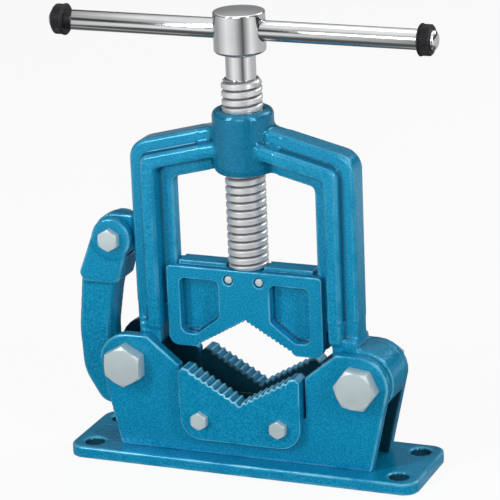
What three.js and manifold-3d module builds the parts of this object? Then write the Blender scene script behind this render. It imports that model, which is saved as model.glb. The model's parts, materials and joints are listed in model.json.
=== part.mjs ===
// Bench pipe vise with a hinged yoke. Two cheeks on a foot plate carry toothed lower jaws. A forged yoke
// tips open on a hinge bolt and is held by a swinging hook, and a screw spindle drives the upper jaw.
// Millimetres, +Z up, +X towards the hinge, -Y towards the user; origin under the middle of the foot plate.
import * as THREE from "three";
import { mergeVertices } from "three/addons/utils/BufferGeometryUtils.js";
import Module from "manifold-3d";

const wasm = await Module();
wasm.setup();

// Gaps and facets
const CLEARANCE = 0.3; // running gap
const SNUG = 0.1; // gap round a tight fit
const ROUND = 32; // sides of a turned piece
const EDGE = 1.3; // rounding of forged edges

// Foot plate
const BASE_LENGTH = 185;
const BASE_DEPTH = 53;
const BASE_THICK = 6;
const BASE_CORNER = 8;
const BENCH_HOLE = 10;
const BENCH_HOLE_X = 81.5;
const BENCH_HOLE_Y = 16.5;

// Cheeks
const CHEEK_GAP = 20; // between the inner faces
const CHEEK_THICK = 6;
const FOOT_HALF = 67;
const EAR_X = 61.5; // bolt centres
const EAR_Z = 50;
const EAR_RADIUS = 15;
const EAR_FLAT = 50; // where the inner slant reaches the ear's top
const SEAT_HALF = 33.5; // notch for the lower jaw
const SEAT_TOP = 51.5;
const SEAT_FLOOR = 30;

// Hinge and latch bolts
const BOLT = 12;
const BOLT_FLATS = 19;
const BOLT_HEAD = 7.5;
const NUT_HEIGHT = 10;
const BOLT_END = 2.5; // bolt end past the nut

// Toothed jaws
const FLANK = Math.PI / 6; // rise of the V flanks
const LOWER_HALF = 32;
const LOWER_TOP = 52;
const LOWER_BOTTOM = 14.5;
const LOWER_CORNER = 11;
const LOWER_ROOT = 36; // bottom of the V
const LOWER_TEETH = 9; // on each flank
const LOWER_PITCH = 3.55;
const LOWER_TOOTH = 1.5;
const APRON = 4.2; // thickness of the part that hangs outside the cheek
const JAW_GAP = 19; // between the two lower jaws
const UPPER_HALF = 41;
const UPPER_THICK = 17;
const UPPER_TOP = 101;
const UPPER_BOTTOM = 59.5;
const UPPER_CORNER = 5;
const UPPER_APEX = 75;
const UPPER_TEETH = 12;
const UPPER_PITCH = 2.45;
const UPPER_TOOTH = 1.1;
const RIDGE_WIDTH = 10; // raised strip along the upper jaw's top
const RIDGE_HEIGHT = 2.2;
const POCKET_DEPTH = 6;
const POCKET_IN = 13.5;
const POCKET_OUT = 34.3;
const POCKET_TOP = 95;
const POCKET_LOW = 66;

// Small screws and pins
const JAW_SCREW = 5;
const JAW_SCREW_FLATS = 8;
const JAW_SCREW_HEAD = 3.5;
const JAW_SCREW_X = 21;
const JAW_SCREW_Z = 25.4;
const PIN = 4;
const PIN_Z = 95.8;
const PIN_SUNK = 0.7; // pin end below the jaw's face
const PIN_RELIEF = 0.7; // wider mouth round the pin
const PIN_MOUTH = 1.5; // depth of that mouth

// Yoke
const WINDOW_HALF = 44.3;
const WINDOW_CROWN = 162; // where the two roof lines of the window would meet
const ARM_SLOPE = 0.25;
const BAND_IN = 7.3; // deep band round the window
const BAND_OUT = 7.2; // shallower band outside it
const BAND_IN_DEPTH = 24;
const BAND_OUT_DEPTH = 14;
const SHOULDER = 10;
const LEG_END = 68;
const GUIDE_PROUD = 7.3; // rib that guides the upper jaw
const GUIDE_WIDTH = 7;
const BOSS = 30.5;
const BOSS_BOTTOM = 150;
const BOSS_TOP = 182;
const LUG_RADIUS = 16; // hinge lug
const FOOT_END = 58; // bottom of the closed leg's foot, between the cheeks

// Hook
const HOOK_X = -70; // pivot
const HOOK_Z = 112.5;
const HOOK_THICK = 16;
const FORK_THICK = 20;
const FORK_RADIUS = 10.4;
const FORK_END = 93;
const HOOK_LUG = 9; // thickness of the lug in the fork
const HOOK_LUG_RADIUS = 11.3;
const HOOK_BOLT = 6;
const HOOK_BOLT_FLATS = 10;
const HOOK_BOLT_HEAD = 4;
const HOOK_NUT = 5;
const HOOK_REACH = 29.5; // from the latch bolt to the hook's back
const NOSE_GAP = 0.8; // between the nose and the latch bolt's outer side

// Spindle and handle
const SCREW = 20;
const SCREW_TOP = 197;
const NECK = 14.8;
const HEAD = 25.5;
const HEAD_BOTTOM = 210;
const HEAD_TOP = 231;
const HEAD_CHAMFER = 1.5;
const TIP = 13;
const TIP_GROOVE = 11.6;
const TIP_END = 88;
const BAR = 10;
const BAR_Z = 221;
const BAR_HALF = 100.3;
const SPIGOT = 8; // bar end inside the ring
const DOME = 3;
const RING = 14.5;
const RING_LENGTH = 5.8;
const RING_LIP = 0.6;

// Places that follow from the sizes
const CHEEK_IN = CHEEK_GAP / 2;
const CHEEK_OUT = CHEEK_IN + CHEEK_THICK;
const APRON_IN = CHEEK_OUT + SNUG;
const APRON_OUT = APRON_IN + APRON;
const LUG_HALF = CHEEK_IN - CLEARANCE;
const YOKE_HALF = WINDOW_HALF + BAND_IN + BAND_OUT;
const UPPER_FACE = UPPER_THICK / 2;
const RIDGE_TOP = UPPER_TOP + RIDGE_HEIGHT;
const PIN_X = (TIP_GROOVE + PIN) / 2 + CLEARANCE;
const RING_OUT = BAR_HALF - DOME;
const RING_IN = RING_OUT - RING_LENGTH;

const paint = { color: 0x0e7fae, roughness: 0.35, metalness: 0.1 };
const zinc = { color: 0xc4c7c8, roughness: 0.35, metalness: 1 };
const chrome = { color: 0xd6d9db, roughness: 0.14, metalness: 1 };
const rubber = { color: 0x2a2733, roughness: 0.7, metalness: 0 };

// Solids from closed geometry, and back
function solidOf(geometry) {
  const bare = geometry.clone();
  bare.deleteAttribute("normal");
  bare.deleteAttribute("uv");
  const merged = mergeVertices(bare, 1e-4);
  const vertProperties = new Float32Array(merged.attributes.position.array);
  const triVerts = new Uint32Array(merged.index.array);
  return new wasm.Manifold(new wasm.Mesh({ numProp: 3, vertProperties, triVerts }));
}

function mesh(name, solid, finish) {
  const { vertProperties, triVerts } = solid.getMesh();
  const geometry = new THREE.BufferGeometry();
  geometry.setAttribute("position", new THREE.BufferAttribute(vertProperties, 3));
  geometry.setIndex(new THREE.BufferAttribute(triVerts, 1));
  geometry.computeVertexNormals();
  const made = new THREE.Mesh(geometry, new THREE.MeshStandardMaterial(finish));
  made.name = name;
  return made;
}

const join = (first, ...rest) => rest.reduce((sum, solid) => sum.add(solid), first);
const cut = (first, ...rest) => rest.reduce((left, solid) => left.subtract(solid), first);

// An outline in X and Z made thick along Y, with its edges rounded where asked
function plate(shape, front, back, edge = 0) {
  const geometry = new THREE.ExtrudeGeometry(shape, {
    depth: back - front - 2 * edge,
    curveSegments: 4,
    bevelEnabled: edge > 0,
    bevelThickness: edge,
    bevelSize: edge,
    bevelOffset: -edge,
    bevelSegments: 1,
  });
  geometry.rotateX(Math.PI / 2);
  geometry.translate(0, back - edge, 0);
  return solidOf(geometry);
}

function rod(axis, radius, length, sides = ROUND) {
  const geometry = new THREE.CylinderGeometry(radius, radius, length, sides);
  if (axis === "x") geometry.rotateZ(Math.PI / 2);
  if (axis === "z") geometry.rotateX(Math.PI / 2);
  return solidOf(geometry);
}

const rodY = (x, z, radius, length, sides) => rod("y", radius, length, sides).translate(x, 0, z);

// A turned piece about Z from [radius, height] points, both ends on the axis
function turned(points, sides = ROUND) {
  const profile = points.map(([radius, height]) => new THREE.Vector2(radius, height));
  const geometry = new THREE.LatheGeometry(profile, sides);
  geometry.rotateX(Math.PI / 2);
  return solidOf(geometry);
}

function block(xLow, xHigh, yHalf, zLow, zHigh) {
  const geometry = new THREE.BoxGeometry(xHigh - xLow, 2 * yHalf, zHigh - zLow);
  geometry.translate((xLow + xHigh) / 2, 0, (zLow + zHigh) / 2);
  return solidOf(geometry);
}

// A closed outline through [x, z, radius] corners
function outline(corners) {
  const shape = new THREE.Shape();
  corners.forEach(([x, z, radius = 0], i) => {
    const [bx, bz] = corners.at(i - 1);
    const [ax, az] = corners[(i + 1) % corners.length];
    const before = new THREE.Vector2(bx - x, bz - z).normalize();
    const after = new THREE.Vector2(ax - x, az - z).normalize();
    const half = Math.acos(THREE.MathUtils.clamp(before.dot(after), -1, 1)) / 2;
    const corner = new THREE.Vector2(x, z);
    const start = corner.clone().addScaledVector(before, radius / Math.tan(half));
    if (i === 0) shape.moveTo(start.x, start.y);
    else shape.lineTo(start.x, start.y);
    if (radius > 0) {
      const inward = before.clone().add(after).normalize();
      const centre = corner.clone().addScaledVector(inward, radius / Math.sin(half));
      const end = corner.clone().addScaledVector(after, radius / Math.tan(half));
      const from = Math.atan2(start.y - centre.y, start.x - centre.x);
      const to = Math.atan2(end.y - centre.y, end.x - centre.x);
      shape.absarc(centre.x, centre.y, radius, from, to, before.cross(after) > 0);
    }
  });
  shape.closePath();
  return shape;
}

const mirrored = (corners) => [...corners, ...corners.map(([x, z, r]) => [-x, z, r]).reverse()];

// Foot plate with four bench holes, each with a broken edge
function footPlate() {
  const corners = mirrored([
    [BASE_LENGTH / 2, -BASE_DEPTH / 2, BASE_CORNER],
    [BASE_LENGTH / 2, BASE_DEPTH / 2, BASE_CORNER],
  ]);
  const edge = EDGE / 2;
  const geometry = new THREE.ExtrudeGeometry(outline(corners), {
    depth: BASE_THICK - edge,
    curveSegments: 5,
    bevelThickness: edge,
    bevelSize: edge,
    bevelOffset: -edge,
    bevelSegments: 2,
  });
  const solid = solidOf(geometry);
  const under = block(-BASE_LENGTH, BASE_LENGTH, BASE_DEPTH, -BASE_THICK, 0);
  const radius = BENCH_HOLE / 2;
  const hole = turned(
    [
      [0, -1],
      [radius, -1],
      [radius, BASE_THICK - edge],
      [radius + 3 * edge, BASE_THICK + 2 * edge],
      [0, BASE_THICK + 2 * edge],
    ],
    24,
  );
  const holes = [-1, 1].flatMap((sx) =>
    [-1, 1].map((sy) => hole.translate(sx * BENCH_HOLE_X, sy * BENCH_HOLE_Y, 0)),
  );
  return cut(solid, under, ...holes);
}

// A cheek, drawn for the front; side is -1 at the front and 1 at the rear
function cheek(side) {
  const shape = new THREE.Shape();
  const low = Math.PI / 9;
  shape.moveTo(-FOOT_HALF, BASE_THICK);
  shape.lineTo(FOOT_HALF, BASE_THICK);
  shape.absarc(EAR_X, EAR_Z, EAR_RADIUS, -low, Math.PI / 2, false);
  shape.lineTo(EAR_FLAT, EAR_Z + EAR_RADIUS);
  shape.lineTo(SEAT_HALF, SEAT_TOP);
  shape.lineTo(SEAT_HALF, SEAT_FLOOR);
  shape.lineTo(-SEAT_HALF, SEAT_FLOOR);
  shape.lineTo(-SEAT_HALF, SEAT_TOP);
  shape.lineTo(-EAR_FLAT, EAR_Z + EAR_RADIUS);
  shape.absarc(-EAR_X, EAR_Z, EAR_RADIUS, Math.PI / 2, Math.PI + low, false);
  shape.closePath();
  const middle = (side * (CHEEK_IN + CHEEK_OUT)) / 2;
  const through = 4 * CHEEK_OUT;
  const bores = [-1, 1].flatMap((sx) => [
    rodY(sx * EAR_X, EAR_Z, BOLT / 2 + CLEARANCE, through),
    rodY(sx * JAW_SCREW_X, JAW_SCREW_Z, JAW_SCREW / 2 + CLEARANCE, through, 20),
  ]);
  return cut(plate(shape, middle - CHEEK_THICK / 2, middle + CHEEK_THICK / 2), ...bores);
}

// Tooth points of the right flank, from the V outwards; up is 1 for a V that opens upwards
function teeth(z, up, count, pitch, depth) {
  const along = new THREE.Vector2(Math.cos(FLANK), up * Math.sin(FLANK));
  const opening = new THREE.Vector2(-Math.sin(FLANK), up * Math.cos(FLANK));
  const points = [];
  for (let i = 0; i < count; i += 1) {
    const root = along.clone().multiplyScalar(i * pitch).addScaledVector(opening, -depth);
    const tip = along.clone().multiplyScalar((i + 0.6) * pitch);
    points.push([root.x, z + root.y], [tip.x, z + tip.y]);
  }
  return points;
}

// A lower jaw: a toothed head on the cheek's seat, and an apron outside the cheek
function lowerJaw(side) {
  const flank = teeth(LOWER_ROOT, 1, LOWER_TEETH, LOWER_PITCH, LOWER_TOOTH);
  const shoulder = [
    [LOWER_HALF - 2, LOWER_TOP],
    [LOWER_HALF, LOWER_TOP - 2],
  ];
  const apron = outline(mirrored([...flank, ...shoulder, [LOWER_HALF, LOWER_BOTTOM, LOWER_CORNER]]));
  const head = outline(mirrored([...flank, ...shoulder, [LOWER_HALF, SEAT_FLOOR + CLEARANCE]]));
  const span = (near, far) => (side < 0 ? [-far, -near] : [near, far]);
  const holes = [-1, 1].map((sx) =>
    rodY(sx * JAW_SCREW_X, JAW_SCREW_Z, JAW_SCREW / 2 + CLEARANCE, 4 * APRON_OUT, 20),
  );
  const solid = join(
    plate(apron, ...span(APRON_IN, APRON_OUT)),
    plate(head, ...span(JAW_GAP / 2, APRON_IN + APRON / 2)),
  );
  return cut(solid, ...holes);
}

// A hexagon along Y from y = 0 to y = height, its far corners turned down to a cone
function hexagon(flats, height) {
  const prism = new THREE.CylinderGeometry(flats / Math.sqrt(3), flats / Math.sqrt(3), height, 6);
  prism.translate(0, height / 2, 0);
  const rim = 0.48 * flats;
  const cone = new THREE.CylinderGeometry(rim, rim + 2 * height, 1.1 * height, ROUND);
  cone.translate(0, 0.45 * height, 0);
  return solidOf(prism).intersect(solidOf(cone));
}

// A hexagon bolt along Y: the head in front of y = 0, the shank behind it
function bolt(size, flats, head, length) {
  const shank = rod("y", size / 2, length + head / 2).translate(0, (length - head / 2) / 2, 0);
  return hexagon(flats, head).mirror([0, 1, 0]).add(shank);
}

function nut(size, flats, height) {
  return hexagon(flats, height).subtract(rod("y", size / 2 + SNUG, 4 * height));
}

// An arch over the window: outside half width and crown, inside half width and crown
function arch(outer, crown, radius, inner, roof, innerRadius, bottom, depth, edge) {
  const corners = mirrored([
    [0, crown, 3],
    [outer, crown - ARM_SLOPE * outer, radius],
    [outer, bottom],
    [inner, bottom],
    [inner, roof - ARM_SLOPE * inner, innerRadius],
    [0, roof, 3],
  ]);
  const half = corners.slice(1, 6);
  const left = corners.slice(6, 11);
  return plate(outline([corners[0], ...half, ...left]), -depth / 2, depth / 2, edge);
}

// The yoke: two bands round the window, a guide rib, the boss, the hinge lug and the hook's lug
function yoke() {
  const rise = Math.hypot(1, ARM_SLOPE);
  const stepHalf = WINDOW_HALF + BAND_IN;
  const stepCrown = WINDOW_CROWN + BAND_IN * rise;
  const crown = stepCrown + BAND_OUT * rise;
  const guideHalf = WINDOW_HALF - GUIDE_PROUD;
  const guideRoof = WINDOW_CROWN - GUIDE_PROUD * rise;
  const outer = arch(
    YOKE_HALF, crown, SHOULDER, WINDOW_HALF + 1, WINDOW_CROWN + 1, 4, LEG_END, BAND_OUT_DEPTH, EDGE,
  );
  const inner = arch(
    stepHalf, stepCrown, SHOULDER / 2, WINDOW_HALF, WINDOW_CROWN, 4, LEG_END, BAND_IN_DEPTH, EDGE,
  );
  const guide = arch(
    stepHalf - 1, stepCrown - 1, 4, guideHalf, guideRoof, 3, LEG_END + 3, GUIDE_WIDTH, 0.8,
  );
  const r = BOSS / 2;
  const boss = turned([
    [0, BOSS_BOTTOM],
    [r - 2, BOSS_BOTTOM],
    [r, BOSS_BOTTOM + 2],
    [r, BOSS_TOP - 2.5],
    [r - 0.8, BOSS_TOP - 0.8],
    [r - 2.5, BOSS_TOP],
    [0, BOSS_TOP],
  ]);
  const lugEdge = EAR_X - LUG_RADIUS;
  const lugNeck = outline([
    [lugEdge, EAR_Z],
    [YOKE_HALF, EAR_Z],
    [YOKE_HALF, LEG_END + 2 * EDGE],
    [lugEdge, LEG_END + 2 * EDGE],
  ]);
  const lug = join(
    rodY(EAR_X, EAR_Z, LUG_RADIUS, 2 * LUG_HALF),
    plate(lugNeck, -LUG_HALF, LUG_HALF),
  );
  const foot = outline([
    [-YOKE_HALF + 2, LEG_END + 2 * EDGE],
    [-YOKE_HALF + 2, FOOT_END, 3],
    [-WINDOW_HALF - 1, FOOT_END, 3],
    [-WINDOW_HALF - 1, LEG_END + 2 * EDGE],
  ]);
  const hookArm = outline([
    [HOOK_X, HOOK_Z + HOOK_LUG_RADIUS],
    [HOOK_X, HOOK_Z - HOOK_LUG_RADIUS / 2],
    [-WINDOW_HALF - BAND_IN, HOOK_Z - HOOK_LUG_RADIUS / 2],
    [-WINDOW_HALF - BAND_IN, HOOK_Z + HOOK_LUG_RADIUS],
  ]);
  const solid = join(
    outer,
    inner,
    guide,
    boss,
    lug,
    plate(foot, -LUG_HALF, LUG_HALF),
    rodY(HOOK_X, HOOK_Z, HOOK_LUG_RADIUS, HOOK_LUG),
    plate(hookArm, -HOOK_LUG / 2, HOOK_LUG / 2),
  );
  return cut(
    solid,
    rod("z", SCREW / 2 + CLEARANCE, 2 * BOSS_TOP),
    rodY(EAR_X, EAR_Z, BOLT / 2 + CLEARANCE, 2 * YOKE_HALF),
    rodY(HOOK_X, HOOK_Z, HOOK_BOLT / 2 + CLEARANCE, 2 * YOKE_HALF),
  );
}

// The hook: a fork round the yoke's lug, and an arm that bows out and comes in under the latch bolt
function hook() {
  const back = -EAR_X - HOOK_REACH;
  const nose = -EAR_X - BOLT / 2 - NOSE_GAP;
  const arm = outline([
    [HOOK_X - FORK_RADIUS, HOOK_Z],
    [back + 3, FORK_END, 10],
    [back, 63, 60],
    [back + 1.2, 40, 22],
    [back + 11, EAR_Z - HOOK_REACH + 3.5, 8],
    [nose - 2, EAR_Z - HOOK_REACH + 3, 4],
    [nose, EAR_Z - HOOK_REACH + 9, 2],
    [nose - 4, EAR_Z - 10, 6],
    [nose - 6, EAR_Z + 2, 14],
    [nose - 6, EAR_Z + 14, 30],
    [nose - 2.5, EAR_Z + 36, 40],
    [HOOK_X + FORK_RADIUS - 5, HOOK_Z - 11, 6],
    [HOOK_X + FORK_RADIUS - 1, HOOK_Z],
  ]);
  const boss = outline([
    [HOOK_X - FORK_RADIUS + 0.5, HOOK_Z + 3],
    [back + 2.4, FORK_END, 3],
    [back + 4.5, FORK_END - 4, 2],
    [HOOK_X + 3, FORK_END - 4, 3],
    [HOOK_X + FORK_RADIUS - 4, HOOK_Z - 11, 6],
    [HOOK_X + FORK_RADIUS - 0.5, HOOK_Z + 1],
  ]);
  const solid = join(
    plate(arm, -HOOK_THICK / 2, HOOK_THICK / 2, EDGE),
    plate(boss, -FORK_THICK / 2 + EDGE / 2, FORK_THICK / 2 - EDGE / 2),
    rodY(HOOK_X, HOOK_Z, FORK_RADIUS, FORK_THICK),
  );
  return cut(
    solid,
    rodY(HOOK_X, HOOK_Z, HOOK_LUG_RADIUS + 2 * CLEARANCE, HOOK_LUG + 2 * CLEARANCE),
    rodY(HOOK_X, HOOK_Z, HOOK_BOLT / 2 + SNUG, 2 * FORK_THICK),
  );
}

// The upper jaw: an inverted toothed V, two pockets on each face, guide slots and the spindle's socket
function upperJaw() {
  const drop = Math.sin(FLANK) / Math.cos(FLANK);
  const reach = UPPER_TEETH * UPPER_PITCH * Math.cos(FLANK);
  const body = outline(
    mirrored([
      ...teeth(UPPER_APEX, -1, UPPER_TEETH, UPPER_PITCH, UPPER_TOOTH),
      [reach + 1, UPPER_BOTTOM],
      [UPPER_HALF, UPPER_BOTTOM, UPPER_CORNER],
      [UPPER_HALF, UPPER_TOP, 2],
    ]),
  );
  const ridge = outline(
    mirrored([
      [WINDOW_HALF - GUIDE_PROUD - 1.5, UPPER_TOP - 1],
      [WINDOW_HALF - GUIDE_PROUD - 1.5, RIDGE_TOP],
    ]),
  );
  const pocketRise = UPPER_APEX - POCKET_IN * drop + 8.5;
  const pocket = outline([
    [POCKET_IN, POCKET_TOP, 3],
    [POCKET_OUT, POCKET_TOP, 3],
    [POCKET_OUT, POCKET_LOW, 4],
    [POCKET_OUT - 8, POCKET_LOW, 4],
    [POCKET_IN, pocketRise, 3],
  ]);
  const pockets = plate(pocket, UPPER_FACE - POCKET_DEPTH, 2 * UPPER_FACE);
  const slot = block(
    WINDOW_HALF - GUIDE_PROUD - CLEARANCE, 2 * UPPER_HALF, GUIDE_WIDTH / 2 + CLEARANCE, 0, 2 * UPPER_TOP,
  );
  const pinHole = rodY(PIN_X, PIN_Z, PIN / 2 + SNUG, 2 * UPPER_THICK, 20);
  const mouth = rod("y", PIN / 2 + PIN_RELIEF, 2 * PIN_MOUTH, 20).translate(PIN_X, UPPER_FACE, PIN_Z);
  const faceCuts = [pockets, mouth];
  const cutters = [...faceCuts, ...faceCuts.map((solid) => solid.mirror([0, 1, 0])), slot, pinHole];
  return cut(
    join(
      plate(body, -UPPER_FACE, UPPER_FACE),
      plate(ridge, -RIDGE_WIDTH / 2, RIDGE_WIDTH / 2),
    ),
    ...cutters,
    ...cutters.map((solid) => solid.mirror([1, 0, 0])),
    rod("z", TIP / 2 + CLEARANCE, RIDGE_TOP).translate(0, 0, TIP_END - CLEARANCE + RIDGE_TOP / 2),
    rod("z", SCREW / 2 + 1, RIDGE_TOP).translate(0, 0, UPPER_TOP + RIDGE_TOP / 2),
  );
}

// The spindle: tip with a groove for the pins, screw, neck and a head with a cross hole
function spindle() {
  const head = HEAD / 2;
  const screwBottom = UPPER_TOP + CLEARANCE;
  const grooveHalf = PIN / 2 + CLEARANCE;
  const solid = turned([
    [0, TIP_END],
    [TIP / 2 - 1, TIP_END],
    [TIP / 2, TIP_END + 1],
    [TIP / 2, PIN_Z - grooveHalf],
    [TIP_GROOVE / 2, PIN_Z - grooveHalf],
    [TIP_GROOVE / 2, PIN_Z + grooveHalf],
    [TIP / 2, PIN_Z + grooveHalf],
    [TIP / 2, screwBottom],
    [SCREW / 2 - 1.5, screwBottom],
    [SCREW / 2, screwBottom + 1.5],
    [SCREW / 2, SCREW_TOP - 2],
    [NECK / 2, SCREW_TOP],
    [NECK / 2, HEAD_BOTTOM],
    [head - HEAD_CHAMFER, HEAD_BOTTOM],
    [head, HEAD_BOTTOM + HEAD_CHAMFER],
    [head, HEAD_TOP - HEAD_CHAMFER],
    [head - HEAD_CHAMFER, HEAD_TOP],
    [0, HEAD_TOP],
  ]);
  return solid.subtract(rod("x", BAR / 2 + CLEARANCE, 2 * HEAD).translate(0, 0, BAR_Z));
}

// The handle bar about X: plain shank, a spigot in each ring and a riveted dome
function handleBar() {
  const half = [
    [BAR / 2, RING_IN - SNUG],
    [SPIGOT / 2, RING_IN - SNUG],
    [SPIGOT / 2, RING_OUT + SNUG],
    [BAR / 2, RING_OUT + SNUG],
    [0.8 * BAR / 2, RING_OUT + 0.6 * DOME],
    [0.45 * BAR / 2, RING_OUT + 0.93 * DOME],
    [0, BAR_HALF],
  ];
  const low = half.map(([radius, x]) => [radius, -x]).reverse();
  return turned([...low, ...half]).rotate([0, 90, 0]).translate(0, 0, BAR_Z);
}

function endRing() {
  const r = RING / 2;
  const solid = turned([
    [0, RING_IN],
    [r + RING_LIP - 0.6, RING_IN],
    [r + RING_LIP, RING_IN + 0.6],
    [r + RING_LIP, RING_IN + 1.4],
    [r, RING_IN + 2.2],
    [r, RING_OUT - 0.8],
    [r - 0.8, RING_OUT],
    [0, RING_OUT],
  ]);
  const bore = rod("z", SPIGOT / 2 + SNUG, 4 * BAR_HALF);
  return solid.subtract(bore).rotate([0, 90, 0]).translate(0, 0, BAR_Z);
}

const part = new THREE.Group();
part.name = "pipe_vise";

function put(made, x = 0, y = 0, z = 0, turn = 0) {
  made.position.set(x, y, z);
  made.rotation.z = turn;
  part.add(made);
}

put(mesh("base_plate", footPlate(), paint));
put(mesh("front_cheek", cheek(-1), paint));
put(mesh("rear_cheek", cheek(1), paint));
put(mesh("front_jaw", lowerJaw(-1), paint));
put(mesh("rear_jaw", lowerJaw(1), paint));

const screwLength = APRON_OUT - CHEEK_IN - CLEARANCE;
for (const [end, side, turn] of [["front", -1, 0], ["rear", 1, Math.PI]]) {
  for (const [place, sx] of [["left", -1], ["right", 1]]) {
    const screw = bolt(JAW_SCREW, JAW_SCREW_FLATS, JAW_SCREW_HEAD, screwLength);
    const made = mesh(`${end}_jaw_screw_${place}`, screw, zinc);
    put(made, sx * JAW_SCREW_X, side * APRON_OUT, JAW_SCREW_Z, turn);
  }
}

const boltLength = 2 * CHEEK_OUT + NUT_HEIGHT + BOLT_END;
for (const [place, sx] of [["hinge", 1], ["latch", -1]]) {
  const shaft = bolt(BOLT, BOLT_FLATS, BOLT_HEAD, boltLength);
  put(mesh(`${place}_bolt`, shaft, zinc), sx * EAR_X, -CHEEK_OUT, EAR_Z);
  put(mesh(`${place}_nut`, nut(BOLT, BOLT_FLATS, NUT_HEIGHT), zinc), sx * EAR_X, CHEEK_OUT, EAR_Z);
}

put(mesh("yoke", yoke(), paint));
put(mesh("latch_hook", hook(), paint));
const forkHalf = FORK_THICK / 2;
const pivot = bolt(HOOK_BOLT, HOOK_BOLT_FLATS, HOOK_BOLT_HEAD, FORK_THICK + HOOK_NUT + 1);
put(mesh("hook_pivot_bolt", pivot, zinc), HOOK_X, -forkHalf, HOOK_Z);
put(mesh("hook_pivot_nut", nut(HOOK_BOLT, HOOK_BOLT_FLATS, HOOK_NUT), zinc), HOOK_X, forkHalf, HOOK_Z);

put(mesh("upper_jaw", upperJaw(), paint));
for (const [place, sx] of [["left", -1], ["right", 1]]) {
  const pin = rod("y", PIN / 2, UPPER_THICK - 2 * PIN_SUNK, 20);
  put(mesh(`retaining_pin_${place}`, pin, zinc), sx * PIN_X, 0, PIN_Z);
}

put(mesh("spindle", spindle(), chrome));
put(mesh("handle_bar", handleBar(), chrome));
put(mesh("end_ring_right", endRing(), rubber));
put(mesh("end_ring_left", endRing().mirror([1, 0, 0]), rubber));

export default part;
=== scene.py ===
"""Looks for a bench pipe vise with a hinged yoke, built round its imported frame."""

import json
import math

import bmesh
import bpy
from mathutils import Matrix, Vector


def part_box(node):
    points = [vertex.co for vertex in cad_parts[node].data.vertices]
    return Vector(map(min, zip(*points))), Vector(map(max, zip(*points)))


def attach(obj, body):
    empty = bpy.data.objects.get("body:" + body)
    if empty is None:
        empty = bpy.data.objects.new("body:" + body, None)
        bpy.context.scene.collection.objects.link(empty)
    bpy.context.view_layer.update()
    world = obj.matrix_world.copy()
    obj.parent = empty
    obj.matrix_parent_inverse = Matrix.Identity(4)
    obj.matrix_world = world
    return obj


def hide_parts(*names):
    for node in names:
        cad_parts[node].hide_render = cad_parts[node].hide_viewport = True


bl_info = {
    "name": "Pipe vise",
    "version": (1, 0, 0),
    "blender": (4, 5, 0),
    "location": "View3D > Sidebar > Pipe vise",
    "description": "Builds the painted, plated and turned pieces of a bench pipe vise",
    "category": "Object",
}

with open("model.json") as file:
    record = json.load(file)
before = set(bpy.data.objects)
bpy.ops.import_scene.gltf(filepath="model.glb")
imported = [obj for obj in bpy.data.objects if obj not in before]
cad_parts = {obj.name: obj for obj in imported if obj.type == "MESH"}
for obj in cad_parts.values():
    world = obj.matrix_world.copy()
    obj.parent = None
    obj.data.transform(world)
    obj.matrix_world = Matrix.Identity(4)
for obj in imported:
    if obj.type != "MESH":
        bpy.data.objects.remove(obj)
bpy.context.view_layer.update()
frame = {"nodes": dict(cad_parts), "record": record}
MM = 0.001
FULL_TURN = 2 * math.pi

# The photograph's camera: degrees, metres, and a focal length in photo pixels.
CAMERA_AZIMUTH = 22.64
CAMERA_ELEVATION = 18.09
CAMERA_ROLL = -2.33
CAMERA_DISTANCE = 1.400
CAMERA_TARGET = Vector((0.0009, 0.0, 0.10967))
FOCAL_PIXELS = 2851.06
PHOTO_PIXELS = 500


def node_box(node):
    """Lowest and highest corner of a CAD node as vectors."""
    low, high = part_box(node)
    return Vector(low), Vector(high)


BAR_LOW, BAR_HIGH = node_box("handle_bar")
RING_LOW, RING_HIGH = node_box("end_ring_right")
SPINDLE_LOW, SPINDLE_HIGH = node_box("spindle")
PLATE_CORNER = node_box("base_plate")[1]
CHEEK_IN = node_box("rear_cheek")[0].y
BOSS_RADIUS = node_box("yoke")[1].y
JAW_TOP = 101 * MM
HINGE_BOLT_TURN = math.radians(-24)
FASTENERS = {"bolt", "nut", "screw"}

# The lower jaws' V: its floor, its half width, the rise of its flanks, and where its teeth begin
JAW_V_FLOOR = 36 * MM
JAW_V_HALF = node_box("front_jaw")[1].x
JAW_V_RISE = JAW_V_HALF * math.tan(math.radians(30))
TEETH_FROM, TEETH_TO = JAW_V_FLOOR - 3 * MM, JAW_V_FLOOR - 1.5 * MM

# Voxel size and smoothing passes of each painted piece
SKIN = {
    "base_plate": (0.7 * MM, 4), "front_cheek": (0.6 * MM, 5), "rear_cheek": (0.6 * MM, 5),
    "front_jaw": (0.34 * MM, 2), "rear_jaw": (0.34 * MM, 2), "upper_jaw": (0.40 * MM, 3),
    "yoke": (0.63 * MM, 9), "latch_hook": (0.6 * MM, 9)}
SMOOTHING = 0.5
BLEND_PASSES = 40
# Where the yoke's legs run into their feet, and where its arms run into the boss
LEG_ACROSS, LEG_HEIGHT = (39 * MM, 68 * MM), (61 * MM, 80 * MM)
ARM_REACH, ARM_HEIGHT = (12 * MM, 23 * MM), (150 * MM, 178 * MM)

# Flecks, clouds and hammer marks in a metre of enamel
FLECKS, CLOUDS, HAMMER_MARKS = 1300, 70, 360
# Pointiness of edges worn pale with a painted highlight, of tooth crests with a painted highlight, and of
# corners with painted shade, from where each begins to where it is full
EDGE_WEAR_AND_SHEEN, TOOTH_CREST, SHADED_CORNER = (0.510, 0.540), (0.502, 0.520), (0.495, 0.468)
# Painted shade darkens the enamel between the cheeks; it fades out between these distances from the middle
INSIDE_FROM, INSIDE_TO = CHEEK_IN + 0.2 * MM, CHEEK_IN + 1.2 * MM
# Painted shade darkens the yoke's boss, out to these distances from the spindle's axis
BOSS_FROM, BOSS_TO = BOSS_RADIUS + 0.25 * MM, BOSS_RADIUS + 1.75 * MM
# The foot plate's holes, by their place in a corner, and where painted shade darkens their walls
BENCH_HOLE = (PLATE_CORNER.x - 11 * MM, PLATE_CORNER.y - 10 * MM, 0)
HOLE_FROM, HOLE_TO = 4.9 * MM, 5.3 * MM
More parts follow.
